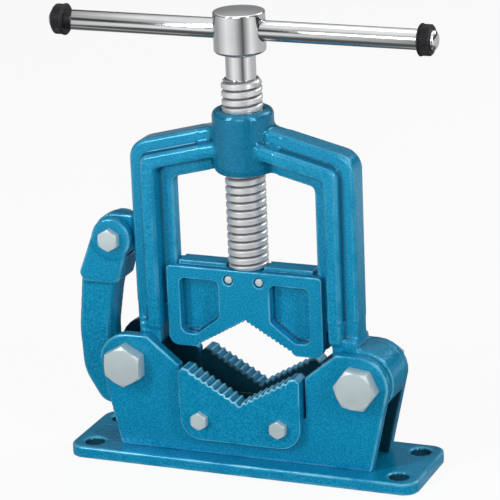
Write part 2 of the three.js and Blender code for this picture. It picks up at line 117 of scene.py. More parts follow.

# Painted reflections: how light the floor and sky look in polished pieces only. The far floor goes by part of
# a turn round the vise:
# grey, a painted bright card, a painted dark strip, a painted bright card and grey. The near floor goes by
# metres in front or behind, and the sky by height from the horizon to overhead.
FAR_FLOOR_REFLECTION = ((0.0, 0.4), (0.15, 1.0), (0.25, 0.75), (0.35, 0.1), (0.45, 1.0), (0.55, 0.6), (1.0, 0.4))
NEAR_FLOOR_REFLECTION = ((0.0, 0.5), (0.05, 0.1), (0.2, 0.1), (0.4, 0.6))
SKY_REFLECTION = ((0.0, 0.5), (0.1, 0.06), (0.35, 0.06), (0.45, 0.5), (0.6, 0.5), (0.75, 0.95))
NEAR_REACH, FAR_REACH = 0.40, 0.50
# The floor's half width, its drop under the plate and its colour, and the dim light from all round
FLOOR_HALF, FLOOR_DROP = 4, 0.2 * MM
FLOOR_COLOUR, ROUND_LIGHT = (0.9, 0.9, 0.9), (0.1, 0.1, 0.1)
# Share of the floor that glows for the camera; the rest keeps the shadow
FLOOR_GLOW = 0.90
# Name, place, width, height and power of each soft light
SOFT_LIGHTS = (
    ("key", (-0.85, -1.25, 0.95), 0.22, 1.2, 15),
    ("side", (1.35, -0.75, 0.75), 0.16, 1.2, 11),
    ("front", (0.3, -1.7, 0.7), 1.0, 0.6, 7),
    ("top", (0.0, 0.2, 1.6), 0.8, 0.8, 2.5),
    ("back", (0.85, 1.15, 1.10), 0.8, 0.8, 8))
# Sockets of a Mix node that carry its two colours and its result
MIX_UNDER, MIX_OVER, MIX_RESULT = 6, 7, 2


class ViseSizes(bpy.types.PropertyGroup):
    """Sizes of the pieces that are made here, in metres."""

    screw_radius: bpy.props.FloatProperty(
        name="Screw radius", description="Outside radius of the spindle's thread",
        default=10 * MM, unit="LENGTH", precision=5)
    screw_pitch: bpy.props.FloatProperty(
        name="Screw pitch", description="Rise of the thread in one turn",
        default=4 * MM, unit="LENGTH", precision=5)
    screw_depth: bpy.props.FloatProperty(
        name="Thread depth", description="Depth of the trapezoidal thread",
        default=2.1 * MM, unit="LENGTH", precision=5)
    screw_top: bpy.props.FloatProperty(
        name="Screw top", description="Height at which the thread runs out",
        default=197 * MM, unit="LENGTH", precision=5)
    neck_radius: bpy.props.FloatProperty(
        name="Neck radius", description="Radius of the plain neck under the head",
        default=7.4 * MM, unit="LENGTH", precision=5)
    head_height: bpy.props.FloatProperty(
        name="Head height", description="Height of the spindle's head",
        default=21 * MM, unit="LENGTH", precision=5)
    tip_radius: bpy.props.FloatProperty(
        name="Tip radius", description="Radius of the plain tip inside the upper jaw",
        default=6.5 * MM, unit="LENGTH", precision=5)
    ring_ribs: bpy.props.IntProperty(
        name="Ring ribs", description="Ribs round each end ring of the handle", default=40)


class ViseColours(bpy.types.PropertyGroup):
    """Colours of the finishes."""

    enamel_deep: bpy.props.FloatVectorProperty(
        name="Enamel, deep", description="Enamel in its darker flecks",
        subtype="COLOR", default=(0.0006, 0.195, 0.370))
    enamel: bpy.props.FloatVectorProperty(
        name="Enamel", description="Main colour of the enamel",
        subtype="COLOR", default=(0.0008, 0.262, 0.470))
    enamel_pale: bpy.props.FloatVectorProperty(
        name="Enamel, pale", description="Enamel in its bright flecks",
        subtype="COLOR", default=(0.020, 0.350, 0.590))
    # Pale edge colour: partly worn enamel, partly a painted highlight; also the painted highlight on tooth
    # crests
    enamel_edge: bpy.props.FloatVectorProperty(
        name="Enamel on edges", description="Enamel where it thins on edges",
        subtype="COLOR", default=(0.200, 0.580, 0.760))
    # Painted shade: darker enamel in corners and round the yoke's boss
    enamel_painted_shade: bpy.props.FloatVectorProperty(
        name="Enamel in corners", description="Enamel where it pools in corners",
        subtype="COLOR", default=(0.0005, 0.055, 0.115))
    # Painted shade between the cheeks and on the walls of the foot plate's holes
    enamel_shaded_inside: bpy.props.FloatVectorProperty(
        name="Between the cheeks", description="Thin, oily paint between the cheeks",
        subtype="COLOR", default=(0.004, 0.020, 0.028))
    zinc: bpy.props.FloatVectorProperty(
        name="Zinc", description="Plating of the bolts and screws",
        subtype="COLOR", default=(0.56, 0.655, 0.67))
    chrome: bpy.props.FloatVectorProperty(
        name="Polished steel", description="Handle bar and the spindle's head",
        subtype="COLOR", default=(0.78, 0.79, 0.80))
    # Darker colour in the roots of the spindle's thread
    thread_root_tone: bpy.props.FloatVectorProperty(
        name="Oil in the thread", description="Dark oil held in the roots of the spindle's thread",
        subtype="COLOR", default=(0.13, 0.13, 0.13))
    rubber: bpy.props.FloatVectorProperty(
        name="Ring", description="Black end rings of the handle",
        subtype="COLOR", default=(0.010, 0.009, 0.012))


# Materials


def new_material(name):
    """An empty material: its nodes, links and principled shader."""
    made = bpy.data.materials.new(name)
    made.use_nodes = True
    nodes, links = made.node_tree.nodes, made.node_tree.links
    return made, nodes, links, nodes["Principled BSDF"]


def feed(links, value, socket):
    """Joins a socket to another one, or sets it to a fixed value."""
    if isinstance(value, bpy.types.NodeSocket):
        links.new(value, socket)
    else:
        socket.default_value = value


def rgba(colour):
    """A colour with full alpha."""
    return (*colour, 1)


def noise_on_object(nodes, links, scale, detail, stretch=(1, 1, 1)):
    """Noise on Object coordinates; scale counts features in a metre."""
    place = nodes.new("ShaderNodeTexCoord")
    mapping = nodes.new("ShaderNodeMapping")
    mapping.inputs["Scale"].default_value = stretch
    noise = nodes.new("ShaderNodeTexNoise")
    noise.inputs["Scale"].default_value = scale
    noise.inputs["Detail"].default_value = detail
    links.new(place.outputs["Object"], mapping.inputs["Vector"])
    links.new(mapping.outputs["Vector"], noise.inputs["Vector"])
    return noise.outputs["Fac"]


def pointiness(nodes):
    """How far a surface bends out at an edge or in at a corner; 0.5 is flat."""
    return nodes.new("ShaderNodeNewGeometry").outputs["Pointiness"]


def ramp_of(nodes, links, source, stops):
    """A colour ramp on a value; stops are (place, colour)."""
    ramp = nodes.new("ShaderNodeValToRGB")
    elements = ramp.color_ramp.elements
    while len(elements) < len(stops):
        elements.new(0.5)
    for element, (place, colour) in zip(elements, stops):
        element.position = place
        element.color = rgba(colour)
    links.new(source, ramp.inputs["Fac"])
    return ramp.outputs["Color"]


def grey_ramp(nodes, links, source, stops):
    """A ramp of plain greys on a value; stops are (place, level)."""
    return ramp_of(nodes, links, source, [(place, (tone, tone, tone)) for place, tone in stops])


def range_of(nodes, links, source, low, high, to_low, to_high):
    """A value mapped from one range to another."""
    mapped = nodes.new("ShaderNodeMapRange")
    mapped.inputs["From Min"].default_value = low
    mapped.inputs["From Max"].default_value = high
    mapped.inputs["To Min"].default_value = to_low
    mapped.inputs["To Max"].default_value = to_high
    links.new(source, mapped.inputs["Value"])
    return mapped.outputs["Result"]


def maths(nodes, links, operation, first, second):
    """The result of a Math node on two sockets."""
    node = nodes.new("ShaderNodeMath")
    node.operation = operation
    links.new(first, node.inputs[0])
    links.new(second, node.inputs[1])
    return node.outputs[0]


def vector_maths(nodes, links, operation, first, second=(0, 0, 0)):
    """The result of a Vector Math node on a socket and a fixed vector."""
    node = nodes.new("ShaderNodeVectorMath")
    node.operation = operation
    node.inputs[1].default_value = second
    links.new(first, node.inputs[0])
    return node.outputs["Value" if operation == "LENGTH" else "Vector"]


def distance_off(nodes, links, axes, centre=(0, 0, 0)):
    """Distance from a centre along the axes that are 1; it is mirrored to every side of the origin."""
    place = nodes.new("ShaderNodeTexCoord").outputs["Object"]
    folded = vector_maths(nodes, links, "ABSOLUTE", place)
    offset = vector_maths(nodes, links, "SUBTRACT", folded, centre)
    kept = vector_maths(nodes, links, "MULTIPLY", offset, axes)
    return vector_maths(nodes, links, "LENGTH", kept)


def blended(nodes, links, factor, under, over, blend="MIX"):
    """One colour laid over another by a factor; each may be a socket or a fixed value."""
    mix = nodes.new("ShaderNodeMix")
    mix.data_type = "RGBA"
    mix.blend_type = blend
    feed(links, factor, mix.inputs["Factor"])
    feed(links, under, mix.inputs[MIX_UNDER])
    feed(links, over, mix.inputs[MIX_OVER])
    return mix.outputs[MIX_RESULT]


def bump_of(nodes, links, height, strength, distance, normal=None):
    """A normal that follows a height, on top of another normal if one is given."""
    bump = nodes.new("ShaderNodeBump")
    bump.inputs["Strength"].default_value = strength
    bump.inputs["Distance"].default_value = distance
    links.new(height, bump.inputs["Height"])
    if normal:
        links.new(normal, bump.inputs["Normal"])
    return bump.outputs["Normal"]


def sheen_on_teeth(nodes, links, painted):
    """Painted highlight on the crests of a lower jaw's teeth, which lie over the floor of its V."""
    parts = nodes.new("ShaderNodeSeparateXYZ")
    links.new(nodes.new("ShaderNodeTexCoord").outputs["Object"], parts.inputs["Vector"])
    rise = range_of(nodes, links, distance_off(nodes, links, (1, 0, 0)), 0, JAW_V_HALF, 0, JAW_V_RISE)
    over = maths(nodes, links, "SUBTRACT", parts.outputs["Z"], rise)
    teeth = range_of(nodes, links, over, TEETH_FROM, TEETH_TO, 0, 1)
    crest = range_of(nodes, links, pointiness(nodes), *TOOTH_CREST, 0.05, 0.95)
    wear_and_sheen = maths(nodes, links, "MULTIPLY", teeth, crest)
    return blended(nodes, links, wear_and_sheen, painted, rgba(bpy.context.scene.vise_colours.enamel_edge))


def painted_shade_inside(nodes, links, painted):
    """Painted shade on the enamel between the cheeks."""
    inside = range_of(nodes, links, distance_off(nodes, links, (0, 1, 0)), INSIDE_FROM, INSIDE_TO, 0.9, 0)
    return blended(nodes, links, inside, painted, rgba(bpy.context.scene.vise_colours.enamel_shaded_inside))


def painted_shade_on_boss(nodes, links, painted):
    """Painted shade round the yoke's boss."""
    boss_shade = range_of(nodes, links, distance_off(nodes, links, (1, 1, 0)), BOSS_FROM, BOSS_TO, 0.42, 0)
    return blended(nodes, links, boss_shade, painted, rgba(bpy.context.scene.vise_colours.enamel_painted_shade))


def painted_shade_in_holes(nodes, links, painted):
    """Painted shade on the walls of the foot plate's holes."""
    off = distance_off(nodes, links, (1, 1, 0), BENCH_HOLE)
    wall_shade = range_of(nodes, links, off, HOLE_FROM, HOLE_TO, 0.85, 0)
    return blended(nodes, links, wall_shade, painted, rgba(bpy.context.scene.vise_colours.enamel_shaded_inside))


# Painted shade and painted highlights laid over the plain enamel of some pieces
PAINTED_LIGHT_OVERLAYS = {
    "enamel_plate": (painted_shade_in_holes,), "enamel_shaded_inside": (painted_shade_inside,),
    "enamel_toothed": (sheen_on_teeth, painted_shade_inside), "enamel_shaded_boss": (painted_shade_on_boss,)}


def blue_enamel(name):
    """Glossy hammered enamel: fine flecks, painted shade in corners, and a paler film on edges that is partly
    wear and partly a painted highlight.
    """
    colours = bpy.context.scene.vise_colours
    made, nodes, links, shader = new_material(name)
    fleck = noise_on_object(nodes, links, FLECKS, 3)
    cloud = noise_on_object(nodes, links, CLOUDS, 2)
    stops = [(0.31, colours.enamel_deep), (0.47, colours.enamel), (0.72, colours.enamel_pale)]
    flecked = ramp_of(nodes, links, fleck, stops)
    shade = ramp_of(nodes, links, cloud, [(0.3, (0.80, 0.84, 0.86)), (0.7, (1, 1, 1))])
    clouded = blended(nodes, links, 0.5, flecked, shade, "MULTIPLY")
    # Paler edges: partly worn paint, partly a painted highlight
    edge_mask = range_of(nodes, links, pointiness(nodes), *EDGE_WEAR_AND_SHEEN, 0, 1)
    patchy = range_of(nodes, links, cloud, 0.38, 0.66, 0.08, 0.85)
    wear_and_sheen = maths(nodes, links, "MULTIPLY", edge_mask, patchy)
    # Painted shade in corners and creases
    corner_shade = range_of(nodes, links, pointiness(nodes), *SHADED_CORNER, 0, 0.95)
    painted = blended(nodes, links, wear_and_sheen, clouded, rgba(colours.enamel_edge))
    painted = blended(nodes, links, corner_shade, painted, rgba(colours.enamel_painted_shade))
    for overlay in PAINTED_LIGHT_OVERLAYS.get(name, ()):
        painted = overlay(nodes, links, painted)
    links.new(painted, shader.inputs["Base Color"])
    links.new(range_of(nodes, links, fleck, 0.3, 0.7, 0.14, 0.24), shader.inputs["Roughness"])
    ripple = noise_on_object(nodes, links, HAMMER_MARKS, 2)
    hammered = bump_of(nodes, links, ripple, 0.28, 0.4 * MM)
    pitted = bump_of(nodes, links, fleck, 0.18, 0.2 * MM, hammered)
    links.new(pitted, shader.inputs["Normal"])
    shader.inputs["Metallic"].default_value = 0.22
    shader.inputs["Specular IOR Level"].default_value = 0.3
    return made


def plated_metal(name, colour, roughness, stretch, grain, metallic=1):
    """Bright metal with faint smudges, and fine tool marks along the axes where stretch is small."""
    made, nodes, links, shader = new_material(name)
    marks = noise_on_object(nodes, links, grain, 2, stretch)
    smudge = noise_on_object(nodes, links, 60, 3)
    dull = tuple(0.92 * c for c in colour)
    tint = ramp_of(nodes, links, smudge, [(0.3, dull), (0.65, colour)])
    links.new(tint, shader.inputs["Base Color"])
    links.new(range_of(nodes, links, smudge, 0.3, 0.7, *roughness), shader.inputs["Roughness"])
    links.new(bump_of(nodes, links, marks, 0.06, 0.05 * MM), shader.inputs["Normal"])
    shader.inputs["Metallic"].default_value = metallic
    return made


def zinc_plating(name):
    """Soft, slightly green plating of the bolts, nuts, screws and pins."""
    colour = bpy.context.scene.vise_colours.zinc
    return plated_metal(
        name, colour, roughness=(0.36, 0.50), stretch=(1, 1, 1), grain=900, metallic=0.35)


def polished_bar(name):
    """Polished steel with fine marks round the bar."""
    colour = bpy.context.scene.vise_colours.chrome
    return plated_metal(name, colour, roughness=(0.07, 0.15), stretch=(1, 0.1, 0.1), grain=1200)


def rolled_thread(name):
    """Bright thread, darker towards the roots."""
    scene = bpy.context.scene
    crest, depth = scene.vise_sizes.screw_radius, scene.vise_sizes.screw_depth
    made = plated_metal(
        name, scene.vise_colours.chrome,
        roughness=(0.28, 0.36), stretch=(0.05, 0.05, 1), grain=3000, metallic=0.6)
    nodes, links = made.node_tree.nodes, made.node_tree.links
    colour = nodes["Principled BSDF"].inputs["Base Color"]
    off_axis = distance_off(nodes, links, (1, 1, 0))
    # Darker towards the roots of the thread
    root = range_of(nodes, links, off_axis, crest - depth, crest - 0.4 * depth, 0.85, 0)
    root_tone = rgba(scene.vise_colours.thread_root_tone)
    links.new(blended(nodes, links, root, colour.links[0].from_socket, root_tone), colour)
    return made


def turned_steel(name):
    """Polished steel with a duller, faced top."""
    colour = bpy.context.scene.vise_colours.chrome
    made = plated_metal(name, colour, roughness=(0.05, 0.10), stretch=(0.05, 0.05, 1), grain=3000)
    nodes, links = made.node_tree.nodes, made.node_tree.links
    rough = nodes["Principled BSDF"].inputs["Roughness"]
    top = SPINDLE_HIGH.z
    height = distance_off(nodes, links, (0, 0, 1))
    faced = range_of(nodes, links, height, top - 1.2 * MM, top - 0.9 * MM, 0, 0.34)
    links.new(maths(nodes, links, "MAXIMUM", rough.links[0].from_socket, faced), rough)
    return made


def black_rubber(name):
    """Matt black ring with a slight violet cast and a dusty grain."""
    colour = bpy.context.scene.vise_colours.rubber
    made, nodes, links, shader = new_material(name)
    grain = noise_on_object(nodes, links, 1500, 3)
    dusty = tuple(2.2 * c for c in colour)
    links.new(ramp_of(nodes, links, grain, [(0.35, colour), (0.75, dusty)]), shader.inputs["Base Color"])
    links.new(range_of(nodes, links, grain, 0.3, 0.7, 0.42, 0.62), shader.inputs["Roughness"])
    links.new(bump_of(nodes, links, grain, 0.15, 0.1 * MM), shader.inputs["Normal"])
    shader.inputs["Specular IOR Level"].default_value = 0.25
    return made


METALS_AND_RUBBER = {
    "bolt_zinc": zinc_plating, "polished_bar": polished_bar, "rolled_thread": rolled_thread,
    "turned_steel": turned_steel, "ring_rubber": black_rubber}


def finish_named(name):
    """The material of that name, made the first time that it is asked for."""
    if name in bpy.data.materials:
        return bpy.data.materials[name]
    return METALS_AND_RUBBER.get(name, blue_enamel)(name)


# Pieces


def merged_copy(node):
    """A copy of a CAD node's mesh with its doubles merged."""
    bm = bmesh.new()
    bm.from_mesh(frame["nodes"][node].data)
    bmesh.ops.remove_doubles(bm, verts=bm.verts, dist=0.002 * MM)
    return bm


def object_from(name, bm):
    """A new object in the scene from a bmesh, which is freed."""
    mesh = bpy.data.meshes.new(name)
    bm.to_mesh(mesh)
    bm.free()
    made = bpy.data.objects.new(name, mesh)
    bpy.context.scene.collection.objects.link(made)
    return made


def applied(made):
    """Puts the result of an object's modifiers into its mesh."""
    graph = bpy.context.evaluated_depsgraph_get()
    mesh = bpy.data.meshes.new_from_object(made.evaluated_get(graph))
    old = made.data
    made.modifiers.clear()
    made.data = mesh
    mesh.name = made.name
    bpy.data.meshes.remove(old)
    return made


def settle(made, body, finish, slot, *nodes, crease=30):
    """Shading, finish and place in the frame of a finished piece."""
    made.data.materials.clear()
    made.data.materials.append(finish_named(finish))
    made.data.polygons.foreach_set("use_smooth", [True] * len(made.data.polygons))
    if crease:
        made.data.set_sharp_from_angle(angle=math.radians(crease))
    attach(made, body)
    if nodes:
        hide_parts(*nodes)
    return made


def smoothing(made, passes):
    """Adds a smoothing modifier of that many passes."""
    smooth = made.modifiers.new("soften", "SMOOTH")
    smooth.factor = SMOOTHING
    smooth.iterations = passes
    return smooth


def softened(node, name, body, finish="hammered_enamel", blend=None):
    """A forged or cast piece: the CAD form with every edge softened under paint, more so in a blend."""
    grain, passes = SKIN[node]
    made = object_from(name, merged_copy(node))
    remesh = made.modifiers.new("skin", "REMESH")
    remesh.mode = "VOXEL"
    remesh.voxel_size = grain
    smoothing(made, passes)
    applied(made)
    if blend:
        group = made.vertex_groups.new(name="blend")
        group.add([v.index for v in made.data.vertices if blend(v.co)], 1, "REPLACE")
        smoothing(made, BLEND_PASSES).vertex_group = group.name
        applied(made)
        made.vertex_groups.clear()
    return settle(made, body, finish, "blue_enamel", node, crease=0)


def rimmed(made, width, segments, sharper_than):
    """Rounds a plated piece's rims where they are sharper than that many degrees."""
    rounded = made.modifiers.new("rim", "BEVEL")
    rounded.width = width
    rounded.segments = segments
    rounded.limit_method = "ANGLE"
    rounded.angle_limit = math.radians(sharper_than)
    applied(made)


def between(value, limits):
    """True where a value lies inside a (low, high) pair."""
    return limits[0] < value < limits[1]


def outline(bm, points):
    """Vertices and edges of an open outline in the XZ plane from (radius, height) points."""
    verts = [bm.verts.new((radius, 0, height)) for radius, height in points]
    return verts + [bm.edges.new(pair) for pair in zip(verts, verts[1:])]


def revolved(profile, steps=72):
    """A closed turned form about Z from (radius, height) points."""
    bm = bmesh.new()
    bmesh.ops.spin(
        bm, geom=outline(bm, profile), cent=(0, 0, 0), axis=(0, 0, 1), dvec=(0, 0, 0),
        angle=FULL_TURN, steps=steps, use_merge=True)
    bmesh.ops.remove_doubles(bm, verts=bm.verts, dist=0.001 * MM)
    bmesh.ops.recalc_face_normals(bm, faces=bm.faces)
    return bm


def laid_along_x(bm, height):
    """Turns a form about Z to lie along X at that height."""
    bmesh.ops.rotate(bm, verts=bm.verts, cent=(0, 0, 0), matrix=Matrix.Rotation(math.pi / 2, 3, "Y"))
    bmesh.ops.translate(bm, verts=bm.verts, vec=(0, 0, height))
    return bm


class VISE_OT_base(bpy.types.Operator):
    """Foot plate and the two cheeks"""

    bl_idname = "vise.base"
    bl_label = "Foot plate and cheeks"

    def execute(self, context):
        softened("base_plate", "foot_plate", "base", "enamel_plate")
        softened("front_cheek", "cheek_front", "base", "enamel_shaded_inside")
        softened("rear_cheek", "cheek_rear", "base", "enamel_shaded_inside")
        return {"FINISHED"}


class VISE_OT_lower_jaws(bpy.types.Operator):
    """Toothed lower jaws"""

    bl_idname = "vise.lower_jaws"
    bl_label = "Lower jaws"

    def execute(self, context):
        softened("front_jaw", "jaw_front", "base", "enamel_toothed")
        softened("rear_jaw", "jaw_rear", "base", "enamel_toothed")
        return {"FINISHED"}


class VISE_OT_yoke(bpy.types.Operator):
    """Forged yoke"""

    bl_idname = "vise.yoke"
    bl_label = "Yoke"

    def blend(self, place):
        """True where a leg runs into its foot and where an arm runs into the boss."""
        leg = between(abs(place.x), LEG_ACROSS) and between(place.z, LEG_HEIGHT)
        arm = between(math.hypot(place.x, place.y), ARM_REACH) and between(place.z, ARM_HEIGHT)
        return leg or arm

    def execute(self, context):
        softened("yoke", "forged_yoke", "yoke", "enamel_shaded_boss", self.blend)
        return {"FINISHED"}


class VISE_OT_hook(bpy.types.Operator):
    """Latch hook"""

    bl_idname = "vise.hook"
    bl_label = "Latch hook"

    def execute(self, context):
        softened("latch_hook", "forged_hook", "hook")
        return {"FINISHED"}


class VISE_OT_upper_jaw(bpy.types.Operator):
    """Toothed upper jaw and the pins that hold the spindle in it"""

    bl_idname = "vise.upper_jaw"
    bl_label = "Upper jaw"

    def execute(self, context):
        softened("upper_jaw", "jaw_upper", "jaw")
        for side in ("left", "right"):
            node = f"retaining_pin_{side}"
            pin = object_from(f"pin_{side}", merged_copy(node))
            rimmed(pin, width=0.4 * MM, segments=3, sharper_than=30)
            settle(pin, "jaw", "bolt_zinc", "zinc", node)
        return {"FINISHED"}


class VISE_OT_fasteners(bpy.types.Operator):
    """Hexagon bolts, nuts and screws"""

    bl_idname = "vise.fasteners"
    bl_label = "Bolts, nuts and screws"

    def execute(self, context):
        bodies = frame["record"]["behaviour"]["bodies"]
        for body in ("base", "hook"):
            for node in bodies[body]:
                if FASTENERS & set(node.split("_")):
                    self.fastener(node, body)
        return {"FINISHED"}

    def fastener(self, node, body):
        """One bolt, nut or screw; the hinge bolt stands turned, as the photograph shows it."""
        bm = merged_copy(node)
        if node == "hinge_bolt":
            middle = sum(node_box(node), Vector()) / 2
            turned = Matrix.Rotation(HINGE_BOLT_TURN, 3, "Y")
            bmesh.ops.rotate(bm, verts=bm.verts, cent=middle, matrix=turned)
        made = object_from(f"hex_{node}", bm)
        rimmed(made, width=0.25 * MM, segments=2, sharper_than=25)
        settle(made, body, "bolt_zinc", "zinc", node, crease=35)


class VISE_OT_spindle(bpy.types.Operator):
    """Spindle: trapezoidal thread, neck and head"""

    bl_idname = "vise.spindle"
    bl_label = "Spindle"

    steps_in_turn: bpy.props.IntProperty(
        name="Steps in a turn", description="Steps of the sweep in one turn of the thread", default=48)

    def execute(self, context):
        sizes = context.scene.vise_sizes
        bottom = JAW_TOP + 0.3 * MM
        settle(self.screw(sizes, bottom), "spindle", "rolled_thread", "bright_steel", "spindle")
        settle(self.head(sizes, bottom), "spindle", "turned_steel", "bright_steel")
        return {"FINISHED"}

    def screw(self, sizes, bottom):
        """A trapezoidal tooth swept up a helix, faded into the neck at the top and chamfered below."""
        crest, root = sizes.screw_radius, sizes.screw_radius - sizes.screw_depth
        pitch, end_step, end_slope = sizes.screw_pitch, 0.5 * MM, 1.1
        tooth = [(root, 0.0), (root, 0.06), (crest - 0.3 * MM, 0.17), (crest, 0.26), (crest, 0.74),
                 (crest - 0.3 * MM, 0.83), (root, 0.94), (root, 1.0)]
        bm = bmesh.new()
        start = outline(bm, [(radius, bottom - pitch + part * pitch) for radius, part in tooth])
        turns = math.ceil((sizes.screw_top - bottom) / pitch) + 1
        steps = turns * self.steps_in_turn
        bmesh.ops.spin(
            bm, geom=start, cent=(0, 0, 0), axis=(0, 0, 1),
            dvec=(0, 0, pitch / self.steps_in_turn), angle=FULL_TURN * turns, steps=steps)
        bmesh.ops.remove_doubles(bm, verts=bm.verts, dist=0.002 * MM)
        for height, normal in ((bottom, (0, 0, -1)), (sizes.screw_top, (0, 0, 1))):
            bmesh.ops.bisect_plane(
                bm, geom=bm.verts[:] + bm.edges[:] + bm.faces[:], dist=1e-7,
                plane_co=(0, 0, height), plane_no=normal, clear_outer=True)
        for vert in bm.verts:
            flat = Vector((vert.co.x, vert.co.y))
            room = min(sizes.screw_top - vert.co.z, vert.co.z - bottom)
            limit = root + end_step + end_slope * room
            if flat.length > limit:
                flat *= limit / flat.length
                vert.co.x, vert.co.y = flat
        bmesh.ops.holes_fill(bm, edges=[e for e in bm.edges if e.is_boundary], sides=0)
        bmesh.ops.recalc_face_normals(bm, faces=bm.faces)
        return object_from("spindle_screw", bm)

    def head(self, sizes, bottom):
        """Tip, core, neck and head in one turned form, with the bar's cross hole."""
        top = SPINDLE_HIGH.z
        low = top - sizes.head_height
        radius = (SPINDLE_HIGH.x - SPINDLE_LOW.x) / 2
        core = sizes.screw_radius - sizes.screw_depth - 0.3 * MM
        ease, rim, fillet, crown, hold = 1.5 * MM, 0.9 * MM, 1.2 * MM, 0.8 * MM, 0.3 * MM
        profile = [(0, SPINDLE_LOW.z), (sizes.tip_radius - MM, SPINDLE_LOW.z),
                   (sizes.tip_radius, SPINDLE_LOW.z + MM), (sizes.tip_radius, bottom),
                   (core, bottom + 0.2 * MM), (core, sizes.screw_top - 0.2 * MM),
                   (sizes.neck_radius, sizes.screw_top - 0.1 * MM),
                   (sizes.neck_radius, low - fillet - hold), (sizes.neck_radius, low - fillet),
                   (sizes.neck_radius + 0.35 * fillet, low - 0.3 * fillet), (sizes.neck_radius + fillet, low)]
        quarter = [k * math.pi / 12 for k in range(7)]
        profile += [(radius - ease + ease * math.sin(t), low + ease - ease * math.cos(t)) for t in quarter]
        edge = top - crown - rim
        profile += [(radius, low + ease + hold), (radius, edge - hold)]
        profile += [(radius - rim + rim * math.cos(t), edge + rim * math.sin(t)) for t in quarter]
        profile += [(0.6 * radius, top - 0.4 * crown), (0, top)]
        made = object_from("spindle_head", revolved(profile))
        bore = (BAR_HIGH.z - BAR_LOW.z) / 2 + 0.3 * MM
        cutter = bmesh.new()
        bmesh.ops.create_cone(
            cutter, cap_ends=True, segments=64, radius1=bore, radius2=bore, depth=4 * radius)
        drill = object_from("drill", laid_along_x(cutter, (BAR_LOW.z + BAR_HIGH.z) / 2))
        hole = made.modifiers.new("cross_hole", "BOOLEAN")
        hole.operation = "DIFFERENCE"
        hole.object = drill
        applied(made)
        bpy.data.objects.remove(drill)
        return made


class VISE_OT_handle(bpy.types.Operator):
    """Handle bar with a ribbed ring at each end"""

    bl_idname = "vise.handle"
    bl_label = "Handle"

    def execute(self, context):
        self.bar()
        for side, sign in (("right", 1), ("left", -1)):
            self.ring(side, sign, context.scene.vise_sizes.ring_ribs)
        return {"FINISHED"}

    def bar(self):
        """A bar with a spigot in each ring and a domed end past it."""
        radius = (BAR_HIGH.z - BAR_LOW.z) / 2
        height = (BAR_HIGH.z + BAR_LOW.z) / 2
        ring_in, ring_out, end = RING_LOW.x, RING_HIGH.x, BAR_HIGH.x
        dome = end - ring_out
        half = [(radius, ring_in - 0.5 * MM), (radius - 0.3 * MM, ring_in - 0.1 * MM),
                (0.8 * radius, ring_in - 0.1 * MM), (0.8 * radius, ring_out + 0.1 * MM),
                (radius - 0.1 * MM, ring_out + 0.1 * MM)]
        half += [(radius * math.cos(t), ring_out + 0.2 * dome + 0.8 * dome * math.sin(t))
                 for t in (k * math.pi / 18 for k in range(9))]
        half.append((0, end))
        profile = [(r, -x) for r, x in reversed(half)] + half
        made = object_from("bar", laid_along_x(revolved(profile), height))
        settle(made, "handle", "polished_bar", "bright_steel", "handle_bar", crease=50)

    def ring(self, side, sign, ribs):
        """A lipped ring whose side is drawn in between its ribs."""
        height = (RING_LOW.z + RING_HIGH.z) / 2
        lip = (RING_HIGH.z - RING_LOW.z) / 2
        outer, bore = lip - 0.35 * MM, 4.1 * MM
        low, high = RING_LOW.x, RING_HIGH.x
        rib_low, rib_high = low + 1.1 * MM, high - 0.6 * MM
        rib_depth, near, steps = 0.45 * MM, 0.1 * MM, 4
        profile = [(bore, low), (lip - 0.5 * MM, low), (lip, low + 0.4 * MM), (lip, low + 0.9 * MM),
                   (outer, rib_low), (outer, rib_high), (outer - 0.6 * MM, high), (bore, high), (bore, low)]
        bm = revolved(profile, steps=ribs * steps)
        for vert in bm.verts:
            flat = Vector((vert.co.x, vert.co.y))
            ribbed = between(vert.co.z, (rib_low - near, rib_high + near)) and flat.length > outer - near
            step = round(math.atan2(flat.y, flat.x) / FULL_TURN * ribs * steps) % steps
            if ribbed and step in (1, 2):
                flat *= 1 - rib_depth / outer
                vert.co.x, vert.co.y = flat
        laid_along_x(bm, height)
        if sign < 0:
            bmesh.ops.scale(bm, verts=bm.verts, vec=(-1, 1, 1))
            bmesh.ops.recalc_face_normals(bm, faces=bm.faces)
        node = f"end_ring_{side}"
        settle(object_from(f"ring_{side}", bm), "handle", "ring_rubber", "black_rubber", node)


